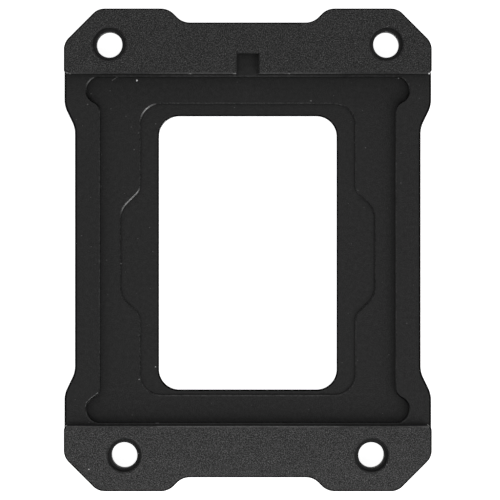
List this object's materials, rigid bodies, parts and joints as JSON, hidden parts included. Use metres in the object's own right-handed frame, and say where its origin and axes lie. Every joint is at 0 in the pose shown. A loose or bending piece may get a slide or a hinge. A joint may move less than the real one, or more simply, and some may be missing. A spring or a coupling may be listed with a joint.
{
  "type": "cpu socket retention frame",
  "caption": "Flat machined frame with a stepped, lobed pocket round an open window, screwed down at its two end strips to press a processor evenly onto its socket.",
  "frame": {"origin": "middle of the flat outer face, which the frame lies on", "axes": "+Z from the outer face towards the board, through the thickness; +Y along the longer side, towards the end strip with the notch; +X across, along the end strips"},
  "size_m": [0.054, 0.0708, 0.006],
  "materials": {
    "anodised_aluminium": "bead blasted and black anodised, matt, coarser sparkle on the end strips"
  },
  "bodies": {
    "root": {"retention_frame": "anodised_aluminium"}
  },
  "joints": []
}
